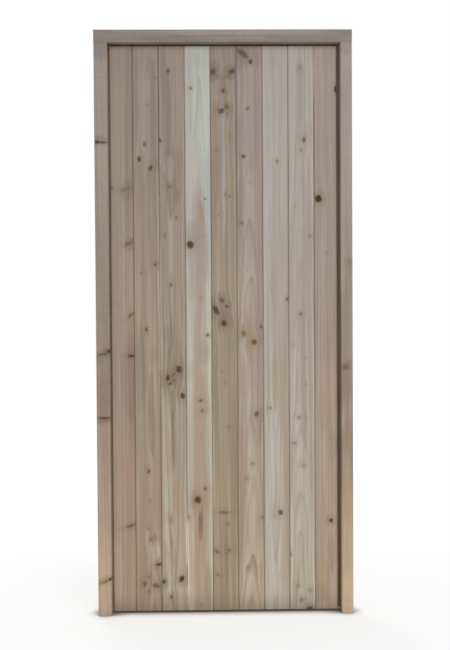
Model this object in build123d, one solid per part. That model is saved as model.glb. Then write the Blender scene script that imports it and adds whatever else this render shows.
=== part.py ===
from build123d import *
import math
import os

# A boarded softwood door hung in its own three-piece softwood frame.
# Origin: foot of the hinge jamb, on its outer face, halfway through the frame's depth.
# +X runs across the door to the lock side, +Y runs from the boarded face to the
# battened back, and +Z is up. All sizes are in millimetres.

# Overall size of the frame
frame_width = 900.0
frame_height = 2050.0

# Frame timbers: their face width, and the rebate cut in their back inner corner
hinge_jamb_face = 47.0
lock_jamb_face = 41.0
head_face = 45.0
rebate_width = 16.0
frame_arris = 1.5

# How the layers stack from the front of the frame to its back
board_recess = 30.0
board_thickness = 20.0
batten_thickness = 25.0
stop_clearance = 5.0
frame_depth = board_recess + board_thickness + batten_thickness

# Running gaps between the leaf and the frame
hinge_gap = 4.5
lock_gap = 10.0
head_gap = 6.0
floor_gap = 8.0

# Tongued and grooved boards
board_cover = 91.0
shoulder_gap = 0.6
vee_chamfer = 3.0
back_arris = 1.0
tongue_thickness = 6.0
tongue_length = 7.0
tongue_from_face = 8.0
groove_side_clearance = 0.2
groove_end_clearance = 1.0
tongue_lead = 1.0

# Battened frame on the back of the leaf
stile_width = 95.0
top_rail_height = 120.0
middle_rail_height = 120.0
bottom_rail_height = 120.0
middle_rail_centre = 1005.0
brace_width = 95.0
batten_arris = 2.0

# Tee hinges on the back
strap_length = 300.0
strap_root_height = 40.0
strap_tip_height = 20.0
strap_neck_length = 14.0
plate_height = 112.0
plate_width = 29.0
plate_corner = 6.0
steel_thickness = 3.0
knuckle_wall = 3.0
knuckle_end_gap = 0.5
pin_radius = 3.0
pin_running_gap = 0.06
pin_head_radius = 5.0
pin_head_height = 2.0
pin_head_round = 1.0

# Places that follow from the sizes above
front_y = -frame_depth / 2
back_y = frame_depth / 2
board_face_y = front_y + board_recess
batten_front_y = board_face_y + board_thickness
shoulder_y = batten_front_y - stop_clearance

opening_left = hinge_jamb_face
opening_right = frame_width - lock_jamb_face
opening_top = frame_height - head_face
rebate_left = opening_left - rebate_width
rebate_right = opening_right + rebate_width
rebate_top = opening_top + rebate_width

leaf_bottom = floor_gap
boards_left = opening_left + hinge_gap
boards_right = opening_right - lock_gap
boards_top = opening_top - head_gap
battens_left = rebate_left + hinge_gap
battens_right = rebate_right - lock_gap
battens_top = rebate_top - head_gap

knuckle_radius = pin_radius + knuckle_wall
bore_radius = pin_radius + pin_running_gap
hinge_x = (rebate_left + battens_left) / 2
hinge_y = back_y + knuckle_radius
strap_end = strap_root_height / 2 + knuckle_end_gap
plate_end = plate_height / 2

# The two outer boards are ripped to one equal width that fills the leaf
boards_width = boards_right - boards_left
board_count = math.ceil(boards_width / board_cover)
outer_board_width = (boards_width - (board_count - 2) * board_cover) / 2


def block(x0, x1, y0, y1, z0, z1):
    """A square-edged block between two corners."""
    centre = Pos((x0 + x1) / 2, (y0 + y1) / 2, (z0 + z1) / 2)
    return centre * Box(x1 - x0, y1 - y0, z1 - z0)


def jamb(outer_x, lip_x, rebate_x):
    """An upright of the frame, whose back inner corner is rebated for the leaf."""
    corners = [
        (outer_x, front_y),
        (lip_x, front_y),
        (lip_x, shoulder_y),
        (rebate_x, shoulder_y),
        (rebate_x, back_y),
        (outer_x, back_y),
    ]
    section = make_face(Polyline(*corners, close=True))
    inner_corner = Vector(rebate_x, shoulder_y, 0)
    rounded = [v for v in section.vertices() if (Vector(*v) - inner_corner).length > frame_arris]
    section = fillet(rounded, frame_arris)
    return extrude(section, amount=opening_top, dir=(0, 0, 1))


def head():
    """The top of the frame. It lies on both jambs, and its rebate stops between them."""
    timber = block(0, frame_width, front_y, back_y, opening_top, frame_height)
    timber = fillet(timber.edges().filter_by(Axis.X), frame_arris)
    rebate = block(rebate_left, rebate_right, shoulder_y, back_y, opening_top, rebate_top)
    return timber - rebate


def board(left_x, width, grooved, tongued):
    """One upright board of the leaf, drawn in plan and extruded to its length."""
    body_right = left_x + width - (shoulder_gap if tongued else 0)
    face, back = board_face_y, batten_front_y
    tongue_front = face + tongue_from_face
    tongue_back = tongue_front + tongue_thickness

    outline = [(left_x + vee_chamfer, face), (left_x, face + vee_chamfer)]
    if grooved:
        groove_x = left_x + tongue_length - shoulder_gap + groove_end_clearance
        outline += [
            (left_x, tongue_front - groove_side_clearance),
            (groove_x, tongue_front - groove_side_clearance),
            (groove_x, tongue_back + groove_side_clearance),
            (left_x, tongue_back + groove_side_clearance),
        ]
    outline += [(left_x, back - back_arris), (left_x + back_arris, back)]
    outline += [(body_right - back_arris, back), (body_right, back - back_arris)]
    if tongued:
        tip = body_right + tongue_length
        outline += [
            (body_right, tongue_back),
            (tip - tongue_lead, tongue_back),
            (tip, tongue_back - tongue_lead),
            (tip, tongue_front + tongue_lead),
            (tip - tongue_lead, tongue_front),
            (body_right, tongue_front),
        ]
    outline += [(body_right, face + vee_chamfer), (body_right - vee_chamfer, face)]
    section = Pos(0, 0, leaf_bottom) * make_face(Polyline(*outline, close=True))
    return extrude(section, amount=boards_top - leaf_bottom, dir=(0, 0, 1))


def boards():
    """All the boards, from the hinge side to the lock side."""
    made = {}
    left_x = boards_left
    for number in range(1, board_count + 1):
        is_first = number == 1
        is_last = number == board_count
        width = outer_board_width if is_first or is_last else board_cover
        made[f"board_{number}"] = board(left_x, width, not is_first, not is_last)
        left_x += width
    return made


def batten(x0, x1, z0, z1):
    """A flat member on the back of the leaf, with its long back edges rounded."""
    timber = block(x0, x1, batten_front_y, back_y, z0, z1)
    long_axis = Axis.X if x1 - x0 > z1 - z0 else Axis.Z
    back_edges = timber.edges().filter_by(long_axis).group_by(Axis.Y)[-1]
    return fillet(back_edges, batten_arris)


def brace(z0, z1):
    """A diagonal that rises from the hinge stile at z0 to the lock stile at z1."""
    x0 = battens_left + stile_width
    x1 = battens_right - stile_width
    panel = block(x0, x1, batten_front_y, back_y, z0, z1)
    length = math.hypot(x1 - x0, z1 - z0)
    slope = math.degrees(math.atan2(z1 - z0, x1 - x0))
    strip = Box(2 * length, batten_thickness, brace_width)
    long_back_edges = strip.edges().filter_by(Axis.X).group_by(Axis.Y)[-1]
    strip = fillet(long_back_edges, batten_arris)
    middle = Pos((x0 + x1) / 2, (batten_front_y + back_y) / 2, (z0 + z1) / 2)
    return panel & (middle * Rot(0, -slope, 0) * strip)


def battens():
    """The stiles, rails and braces that hold the boards together."""
    rail_left = battens_left + stile_width
    rail_right = battens_right - stile_width
    bottom_rail_top = leaf_bottom + bottom_rail_height
    middle_rail_bottom = middle_rail_centre - middle_rail_height / 2
    middle_rail_top = middle_rail_centre + middle_rail_height / 2
    top_rail_bottom = battens_top - top_rail_height
    return {
        "hinge_stile": batten(battens_left, rail_left, leaf_bottom, battens_top),
        "lock_stile": batten(rail_right, battens_right, leaf_bottom, battens_top),
        "bottom_rail": batten(rail_left, rail_right, leaf_bottom, bottom_rail_top),
        "middle_rail": batten(rail_left, rail_right, middle_rail_bottom, middle_rail_top),
        "top_rail": batten(rail_left, rail_right, top_rail_bottom, battens_top),
        "lower_brace": brace(bottom_rail_top, middle_rail_bottom),
        "upper_brace": brace(middle_rail_top, top_rail_bottom),
    }


def tube(z0, z1):
    """A rolled hinge knuckle about the hinge axis."""
    return Pos(hinge_x, hinge_y, (z0 + z1) / 2) * Cylinder(knuckle_radius, z1 - z0)


def pin_bore(z0, z1):
    """The hole for the hinge pin."""
    return Pos(hinge_x, hinge_y, (z0 + z1) / 2) * Cylinder(bore_radius, z1 - z0)


def hinge_strap(centre_z):
    """The long tapered leaf of a tee hinge, screwed to the battens."""
    half_root = strap_root_height / 2
    tip_radius = strap_tip_height / 2
    neck_x = hinge_x + knuckle_radius + strap_neck_length
    tip_x = hinge_x + strap_length - tip_radius
    taper = [
        (hinge_x, -half_root),
        (neck_x, -half_root),
        (tip_x, -tip_radius),
        (tip_x, tip_radius),
        (neck_x, half_root),
        (hinge_x, half_root),
    ]
    outline = make_face(Polyline(*taper, close=True)) + Pos(tip_x, 0) * Circle(tip_radius)
    sheet = extrude(Plane.XZ * outline, amount=steel_thickness, dir=(0, 1, 0))
    sheet = Pos(0, back_y, centre_z) * sheet
    knuckle = tube(centre_z - half_root, centre_z + half_root)
    return sheet + knuckle - pin_bore(centre_z - half_root, centre_z + half_root)


def hinge_plate(centre_z):
    """The short upright leaf of a tee hinge, screwed to the back of the jamb."""
    outer_x = hinge_x - plate_width
    sheet = block(outer_x, hinge_x, back_y, back_y + steel_thickness, -plate_end, plate_end)
    corners = sheet.edges().filter_by(Axis.Y).group_by(Axis.X)[0]
    sheet = Pos(0, 0, centre_z) * fillet(corners, plate_corner)
    notch = block(
        hinge_x - knuckle_radius - knuckle_end_gap,
        hinge_x,
        back_y,
        back_y + steel_thickness,
        centre_z - strap_end,
        centre_z + strap_end,
    )
    lower = tube(centre_z - plate_end, centre_z - strap_end)
    upper = tube(centre_z + strap_end, centre_z + plate_end)
    bore = pin_bore(centre_z - plate_end, centre_z + plate_end)
    return sheet - notch + lower + upper - bore


def hinge_pin(centre_z):
    """The riveted pin that runs through the three knuckles of a tee hinge."""
    pin = Cylinder(pin_radius, plate_height)
    for end in (-1, 1):
        cap = Cylinder(pin_head_radius, pin_head_height)
        outer_edge = cap.edges().filter_by(GeomType.CIRCLE).group_by(Axis.Z)[-1]
        cap = fillet(outer_edge, pin_head_round)
        turn = Rot(0, 0, 0) if end > 0 else Rot(180, 0, 0)
        pin += Pos(0, 0, end * (plate_end + pin_head_height / 2)) * turn * cap
    return Pos(hinge_x, hinge_y, centre_z) * pin


def hinges():
    """Three tee hinges, one on the middle line of each rail."""
    heights = {
        "bottom": leaf_bottom + bottom_rail_height / 2,
        "middle": middle_rail_centre,
        "top": battens_top - top_rail_height / 2,
    }
    made = {}
    for place, centre_z in heights.items():
        made[f"{place}_hinge_strap"] = hinge_strap(centre_z)
        made[f"{place}_hinge_plate"] = hinge_plate(centre_z)
        made[f"{place}_hinge_pin"] = hinge_pin(centre_z)
    return made


pieces = {
    "hinge_jamb": jamb(0, opening_left, rebate_left),
    "lock_jamb": jamb(frame_width, opening_right, rebate_right),
    "head": head(),
}
pieces.update(boards())
pieces.update(battens())
pieces.update(hinges())

os.makedirs("parts", exist_ok=True)
for name, piece in pieces.items():
    export_step(piece, f"parts/{name}.step")
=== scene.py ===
import math
import random

import bmesh
import bpy
from mathutils import Euler, Matrix, Vector, noise
from mathutils.geometry import tessellate_polygon


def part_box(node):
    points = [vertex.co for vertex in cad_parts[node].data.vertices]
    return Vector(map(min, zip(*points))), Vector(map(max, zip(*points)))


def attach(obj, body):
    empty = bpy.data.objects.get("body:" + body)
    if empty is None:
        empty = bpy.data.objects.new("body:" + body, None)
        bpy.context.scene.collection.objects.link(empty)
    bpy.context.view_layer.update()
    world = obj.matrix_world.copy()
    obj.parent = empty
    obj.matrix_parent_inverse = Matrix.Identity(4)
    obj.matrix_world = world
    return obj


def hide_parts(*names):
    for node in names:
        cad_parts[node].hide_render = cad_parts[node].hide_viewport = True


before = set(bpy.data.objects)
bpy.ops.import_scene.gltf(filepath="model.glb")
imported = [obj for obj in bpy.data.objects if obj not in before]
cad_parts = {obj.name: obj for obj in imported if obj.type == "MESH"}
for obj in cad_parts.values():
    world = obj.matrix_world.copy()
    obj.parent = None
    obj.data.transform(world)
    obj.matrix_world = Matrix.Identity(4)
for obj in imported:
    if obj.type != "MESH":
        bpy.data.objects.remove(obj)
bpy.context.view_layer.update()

# Camera
# It stands where the photo was taken from: about 3.5 m off, a little left of the middle and at chest
# height. It is tilted down, turned and rolled by about a degree or less.
camera_place = Vector((0.392, -3.5025, 1.106))
camera_turn_left = math.radians(-0.982)
camera_tilt_up = math.radians(-1.396)
camera_roll = math.radians(-0.354)
from_down_to_level = math.radians(90)

camera_data = bpy.data.cameras.new("camera")
camera_data.sensor_width = 36
camera_data.lens = 54.84
camera = bpy.data.objects.new("camera", camera_data)
camera.matrix_world = (
    Matrix.Translation(camera_place)
    @ Matrix.Rotation(camera_turn_left, 4, "Z")
    @ Matrix.Rotation(from_down_to_level + camera_tilt_up, 4, "X")
    @ Matrix.Rotation(camera_roll, 4, "Z")
)
bpy.context.collection.objects.link(camera)
bpy.context.scene.camera = camera
bpy.context.scene.view_settings.view_transform = "Standard"


# Studio
# A white painted floor runs out to a white surround, which lights the door evenly. Broad softboxes
# hang high on the right in front, high on the left behind, and overhead.
def linear(code):
    """Turn an sRGB hex colour into the linear values that a shader takes."""
    channels = [int(code[i:i + 2], 16) / 255 for i in (1, 3, 5)]
    return [c / 12.92 if c <= 0.04045 else ((c + 0.055) / 1.055) ** 2.4 for c in channels] + [1]


def add(tree, kind, values=(), **settings):
    """Add a node with its settings, and give its sockets values or links, by name or in order."""
    made = tree.nodes.new("ShaderNode" + kind)
    for name, setting in settings.items():
        setattr(made, name, setting)
    sockets = [s for s in made.inputs if s.enabled]
    pairs = values.items() if isinstance(values, dict) else enumerate(values)
    for key, value in pairs:
        socket = sockets[key] if isinstance(key, int) else next(s for s in sockets if s.name == key)
        if isinstance(value, bpy.types.Node):
            value = next(s for s in value.outputs if s.enabled)
        if isinstance(value, bpy.types.NodeSocket):
            tree.links.new(value, socket)
        else:
            socket.default_value = value
    return made


def empty_tree(owner):
    """Give a material or a world an empty node tree."""
    owner.use_nodes = True
    owner.node_tree.nodes.clear()
    return owner.node_tree


def seen_directly(tree):
    """1 on a ray from the camera, or by way of gloss or glass, and 0 on one that only lights things."""
    path = add(tree, "LightPath")
    seen = path.outputs["Is Camera Ray"]
    for way in ("Is Glossy Ray", "Is Transmission Ray"):
        seen = add(tree, "Math", [seen, path.outputs[way]], operation="MAXIMUM")
    return seen


surround_strength = 0.42
world = bpy.data.worlds.new("white surround")
bpy.context.scene.world = world
tree = empty_tree(world)
seen = seen_directly(tree)
ambient = add(tree, "Background", {"Color": linear("#ffffff"), "Strength": surround_strength})
backdrop = add(tree, "Background", {"Color": linear("#ffffff"), "Strength": 1.0})
shown = add(tree, "MixShader", [seen, ambient, backdrop])
add(tree, "OutputWorld", {"Surface": shown})

# The floor lies half a millimetre below the jambs' feet, so that the two never share a face
floor_reach = 40
floor_drop = 0.0005
floor_mesh = bpy.data.meshes.new("floor")
floor_corners = [(-floor_reach, -floor_reach, 0), (floor_reach, -floor_reach, 0)]
floor_corners += [(floor_reach, floor_reach, 0), (-floor_reach, floor_reach, 0)]
floor_mesh.from_pydata(floor_corners, [], [(0, 1, 2, 3)])
floor = bpy.data.objects.new("floor", floor_mesh)
floor.location.z = -floor_drop
bpy.context.collection.objects.link(floor)

# White floor paint: matt and shadowless to the eye further off, with a soft grey shadow about the door.
# Where little light gets in, as in the slot under the leaf, ambient occlusion paints its tone dark brown
# as painted shade, and a faint brown glow is painted in as painted light, so the slot shows a brown dusk
slot_reach = 0.07
painted_slot_glow = 0.09
shadow_middle, shadow_half = (0.45, 0, 0), (0.9, 0.45, 1)
shadow_light = 0.72
floor_paint = bpy.data.materials.new("white floor paint with painted shade")
tree = empty_tree(floor_paint)
# Ambient occlusion measures how hemmed in the floor is, for the painted shade and the painted glow below
open_sky = add(tree, "AmbientOcclusion", {"Distance": slot_reach}, samples=12).outputs["AO"]
shaded = add(
    tree,
    "MapRange",
    {"Value": open_sky, "From Min": 0.3, "From Max": 0.95, "To Min": painted_slot_glow},
    interpolation_type="SMOOTHSTEP",
)
# Painted shade: the paint's tone darkens to brown where the floor is hemmed in
tone = {"Factor": shaded, "A": linear("#6b625a"), "B": linear("#f4f4f2")}
paint = add(tree, "BsdfDiffuse", {"Color": add(tree, "Mix", tone, data_type="RGBA")})
# Painted light: in the slot the camera sees a faint brown glow
tone = {"Factor": shaded, "A": linear("#c9b09a"), "B": linear("#ffffff")}
white = add(tree, "Emission", {"Color": add(tree, "Mix", tone, data_type="RGBA"), "Strength": 1.0})
seen = seen_directly(tree)
spot = add(tree, "TexCoord").outputs["Object"]
around = {"Vector": spot, "Location": shadow_middle, "Scale": shadow_half}
around = add(tree, "Mapping", around, vector_type="TEXTURE")
around = add(tree, "VectorMath", [around], operation="LENGTH").outputs["Value"]
clear = add(
    tree,
    "MapRange",
    {"Value": around, "From Min": 0.5, "From Max": 2.4, "To Min": shadow_light},
    interpolation_type="SMOOTHSTEP",
)
clear = add(tree, "Math", [clear, shaded], operation="MULTIPLY")
seen = add(tree, "Math", [seen, clear], operation="MULTIPLY")
shown = add(tree, "MixShader", [seen, paint, white])
add(tree, "OutputMaterial", {"Surface": shown})
floor_mesh.materials.append(floor_paint)


door_middle = Vector((0.45, 0, 1.0))


def lamp(name, place, size, power):
    """Hang a square softbox that faces the middle of the door."""
    data = bpy.data.lights.new(name, "AREA")
    data.size = size
    data.energy = power
    made = bpy.data.objects.new(name, data)
    made.location = place
    made.rotation_euler = (door_middle - Vector(place)).to_track_quat("-Z", "Y").to_euler()
    bpy.context.collection.objects.link(made)


lamp("front softbox", (4.6, -11.0, 6.4), size=6.0, power=900)
lamp("back softbox", (-3.7, 11.0, 6.4), size=6.0, power=900)
lamp("top softbox", (0.45, 0.0, 6.5), size=4.0, power=60)


# Jambs
# Two uprights of larch, 75 mm deep and left as the saw left them, with a rebate planed out of the
# back inner corner for the leaf. They are fixed to the wall, and stand on the floor.
MM = 0.001
through_the_board = 1e6
knot_swerve = 0.62
wander_most = (12.0, 12.0, 60.0)
knot_rim_most = (8.0, 0.0, 8.0)
noise_middle = (0.5, 0.5, 0.5)
timbers_apart = 97.0
knot_browns = ((0.0, "#1f1104"), (0.2, "#3a240e"), (0.34, "#5e4320"), (0.46, "#7e613a"), (0.62, "#94764f"))
faint_knot_tint = (0.5, 0.455, 0.39)


def per_mm(across, along):
    """The scale of a pattern whose features are this many mm across the grain and along it."""
    return 1 / across, 1 / across, 1 / along


def knot_recipe():
    """The node group that lays one knot: how near it is, how dark, and how far it pushes the grain.

    Distances are in the knot's own half widths. Its core darkens inwards from 1.55, a faint halo
    reaches out to 3.4, and the grain swerves round it within about 2 beside it and 3 above and below.
    """
    tree = bpy.data.node_groups.new("knot", "ShaderNodeTree")
    for kind, names in (
        ("Vector", ("Point", "Centre", "Tilt", "Size")),
        ("Float", ("Dark", "Bend", "Nearest", "Shade", "Shift")),
    ):
        for name in names:
            tree.interface.new_socket(name, in_out="INPUT", socket_type="NodeSocket" + kind)
    for name in ("Nearest", "Shade", "Shift"):
        tree.interface.new_socket(name, in_out="OUTPUT", socket_type="NodeSocketFloat")
    tree.interface.new_socket("Point", in_out="OUTPUT", socket_type="NodeSocketVector")
    given = tree.nodes.new("NodeGroupInput").outputs
    own_axes = {"Vector": "Point", "Location": "Centre", "Rotation": "Tilt", "Scale": "Size"}
    own_axes = {socket: given[name] for socket, name in own_axes.items()}
    local = add(tree, "Mapping", own_axes, vector_type="TEXTURE")
    away = add(tree, "VectorMath", [local], operation="LENGTH").outputs["Value"]
    merging = 0.3
    nearest = add(tree, "Math", [given["Nearest"], away, merging], operation="SMOOTH_MIN")
    core = {"Value": away, "From Min": 1.55, "From Max": 0.4}
    core = add(tree, "MapRange", core, interpolation_type="SMOOTHSTEP")
    halo = {"Value": away, "From Min": 3.4, "From Max": 0.8, "To Max": 0.34}
    halo = add(tree, "MapRange", halo, interpolation_type="SMOOTHSTEP")
    mask = add(tree, "Math", [core, halo], operation="MAXIMUM")
    mask = add(tree, "Math", [mask, given["Dark"]], operation="MULTIPLY")
    shade = add(tree, "Math", [given["Shade"], mask], operation="MAXIMUM")
    narrower_beside, longer_along, one_reach_off = 0.45, 0.34, 0.37
    reach = add(tree, "VectorMath", [local, (narrower_beside, 0.0, longer_along)], operation="MULTIPLY")
    reach = add(tree, "VectorMath", [reach, reach], operation="DOT_PRODUCT").outputs["Value"]
    fall = add(tree, "Math", [one_reach_off, reach], operation="POWER")
    aside = add(tree, "VectorMath", [given["Point"], given["Centre"]], operation="SUBTRACT")
    aside = add(tree, "SeparateXYZ", [aside]).outputs["X"]
    push = add(tree, "Math", [aside, fall], operation="MULTIPLY")
    shift = add(tree, "Math", [push, given["Bend"], given["Shift"]], operation="MULTIPLY_ADD")
    # The point goes on to the next knot only once this knot is done, so few values are held at a time
    held = add(tree, "CombineXYZ", {"X": nearest, "Y": shade, "Z": shift})
    held = add(tree, "VectorMath", [held, (0, 0, 0), given["Point"]], operation="MULTIPLY_ADD")
    taken = tree.nodes.new("NodeGroupOutput").inputs
    for name, value in (("Point", held), ("Nearest", nearest), ("Shade", shade), ("Shift", shift)):
        tree.links.new(value.outputs[0], taken[name])
    return tree


knot_group = knot_recipe()


def laid_knots(tree, point, knots):
    """Lay knots one after another. A knot is wider than tall where the board's face cuts it lengthwise.

    Each is (across, along, half width, half height, tilt in degrees, darkness), with lengths in mm.
    """
    last = {"Nearest": 9.0, "Shade": 0.0, "Shift": 0.0, "Point": point}
    for across, along, wide, tall, tilt, dark in knots:
        own = {"Centre": (across, 0, along), "Tilt": (0, math.radians(tilt), 0)}
        own |= {"Size": (wide, through_the_board, tall), "Dark": dark}
        own |= {"Bend": -knot_swerve * min(1, tall / wide) ** 2}
        laid = add(tree, "Group", {}, node_tree=knot_group)
        for name, value in (own | last).items():
            if isinstance(value, bpy.types.NodeSocket):
                tree.links.new(value, laid.inputs[name])
            else:
                laid.inputs[name].default_value = value
        last = {name: laid.outputs[name] for name in last}
    return last["Nearest"], last["Shade"], last["Shift"]


def year_rings(tree, point, log):
    """How far a point is from the pith, and how much of it is dark summer wood.

    A year's ring darkens slowly from its spring wood to its summer wood, and ends sharply. Some
    summers were drier than others, and left a darker line.
    """
    place = add(tree, "SeparateXYZ", [point]).outputs
    beside = add(tree, "Math", [place["X"], log["pith"][0]], operation="SUBTRACT")
    behind = add(tree, "Math", [place["Z"], log["lean"] * MM, place["Y"]], operation="MULTIPLY_ADD")
    behind = add(tree, "Math", [behind, log["pith"][1]], operation="SUBTRACT")
    radius = add(tree, "CombineXYZ", [beside, behind])
    radius = add(tree, "VectorMath", [radius], operation="LENGTH").outputs["Value"]
    year = add(tree, "Math", [radius, log["ring"]], operation="DIVIDE")
    season = add(tree, "Math", [year], operation="FRACT")
    summer = {"Value": season, "From Min": 0.4, "From Max": 0.9}
    summer = add(tree, "MapRange", summer, interpolation_type="SMOOTHSTEP")
    autumn = {"Value": season, "From Min": 1.0, "From Max": 0.94}
    autumn = add(tree, "MapRange", autumn, interpolation_type="SMOOTHSTEP")
    summer = add(tree, "Math", [summer, autumn], operation="MULTIPLY")
    drought = add(tree, "Math", [year], operation="FLOOR")
    drought = add(tree, "TexWhiteNoise", {"W": drought}, noise_dimensions="1D").outputs["Value"]
    drought = add(tree, "MapRange", {"Value": drought, "To Min": 0.25})
    return radius, add(tree, "Math", [summer, drought], operation="MULTIPLY")


def knot_wood(tree, colour, spot, nearest, shade):
    """Lay the knots' own wood over the colour: brown rings in a dark rim, cracked as they dried."""
    brown = add(tree, "Math", [nearest, 0.5], operation="MULTIPLY")
    brown = add(tree, "ValToRGB", {"Fac": brown})
    ramp = brown.color_ramp
    while len(ramp.elements) < len(knot_browns):
        ramp.elements.new(1.0)
    for element, (position, tone) in zip(ramp.elements, knot_browns):
        element.position = position
        element.color = linear(tone)
    mottle_size = 5
    mottle = add(tree, "TexNoise", {"Vector": spot, "Scale": 1 / mottle_size, "Detail": 2.0})
    mottle = add(tree, "MapRange", {"Value": mottle, "From Min": 0.4, "From Max": 0.62, "To Max": 0.55})
    brown = add(tree, "Mix", {"Factor": mottle, "A": brown, "B": linear("#74522f")}, data_type="RGBA")
    # A darkness above 1 is a dead knot, nearly black with its bark
    black = add(tree, "MapRange", {"Value": shade, "From Min": 1.0, "From Max": 1.6, "To Max": 0.95})
    brown = add(tree, "Mix", {"Factor": black, "A": brown, "B": linear("#1b130c")}, data_type="RGBA")
    rings_in_half_width = 4.0
    ring = add(tree, "Math", [nearest, rings_in_half_width], operation="MULTIPLY")
    ring = add(tree, "Math", [ring], operation="FRACT")
    ring = add(tree, "MapRange", {"Value": ring, "To Min": 0.8, "To Max": 1.12})
    crack = add(tree, "VectorMath", [spot, per_mm(2.381, 5.882)], operation="MULTIPLY")
    crack = add(tree, "TexNoise", {"Vector": crack, "Scale": 1.0, "Detail": 2.0})
    crack = add(tree, "Math", [crack, 0.5], operation="SUBTRACT")
    crack = add(tree, "Math", [crack], operation="ABSOLUTE")
    crack = add(tree, "MapRange", {"Value": crack, "From Min": 0.004, "From Max": 0.02, "To Min": 0.25})
    light = add(tree, "Math", [ring, crack], operation="MULTIPLY")
    brown = add(tree, "VectorMath", {0: brown, "Scale": light}, operation="SCALE")
    # A faint knot only tints the wood that lies over it
    own_wood = add(tree, "MapRange", {"Value": shade, "From Min": 0.15, "From Max": 0.9})
    tinted = add(tree, "VectorMath", [colour, faint_knot_tint], operation="MULTIPLY")
    brown = add(tree, "Mix", {"Factor": own_wood, "A": tinted, "B": brown}, data_type="RGBA")
    cover = add(tree, "MapRange", {"Value": shade, "From Max": 0.95})
    return add(tree, "Mix", {"Factor": cover, "A": colour, "B": brown}, data_type="RGBA")


def greyed_and_shaded_above(tree, colour, geometry, shade, weather, grey, foot_darkness):
    """Grey and darken the timber, most near its top and on its outside, and darken its foot. Heights are in
    m.

    The greying near the top is partly weather and partly painted shade.
    """
    height = add(tree, "SeparateXYZ", [geometry["Object"]]).outputs["Z"]
    blotch_size = 250
    blotch = {"Vector": geometry["Object"], "Scale": 1 / (blotch_size * MM), "Detail": 3.0}
    blotch = {"Value": add(tree, "TexNoise", blotch), "From Min": 0.3, "From Max": 0.7}
    blotch = add(tree, "MapRange", blotch | {"To Min": 0.8, "To Max": 1.2})
    # Greyer and darker towards the top: partly weather, and partly painted shade for the dimmer light up
    # there
    grey_and_top_shade = add(tree, "MapRange", {"Value": height, "From Max": 1.9, "To Max": weather})
    grey_and_top_shade = add(tree, "Math", [grey_and_top_shade, blotch], operation="MULTIPLY")
    inside = add(tree, "SeparateXYZ", [geometry["Normal"]]).outputs["Y"]
    inside = {"Value": inside, "From Min": 0.1, "From Max": 0.7, "To Min": 1.0, "To Max": 0.35}
    grey_and_top_shade = add(tree, "Math", [grey_and_top_shade, add(tree, "MapRange", inside)], operation="MULTIPLY")
    # Resin keeps the weather out of a knot
    resin = -0.8
    spared = add(tree, "Math", [shade, resin, 1.0], operation="MULTIPLY_ADD")
    grey_and_top_shade = add(tree, "Math", [grey_and_top_shade, spared], operation="MULTIPLY")
    colour = add(tree, "Mix", {"Factor": grey_and_top_shade, "A": colour, "B": linear(grey)}, data_type="RGBA")
    # The lowest few centimetres are darker and browner, up to a ragged line
    ragged_line = -0.05
    darker_foot_share = add(tree, "Math", [blotch, ragged_line, height], operation="MULTIPLY_ADD")
    darker_foot_share = {"Value": darker_foot_share, "From Min": -0.045, "From Max": 0.03, "To Min": foot_darkness, "To Max": 0.0}
    darker_foot_share = add(tree, "MapRange", darker_foot_share, interpolation_type="SMOOTHSTEP")
    return add(tree, "Mix", {"Factor": darker_foot_share, "A": colour, "B": linear("#6d5e50")}, data_type="RGBA")
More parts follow.
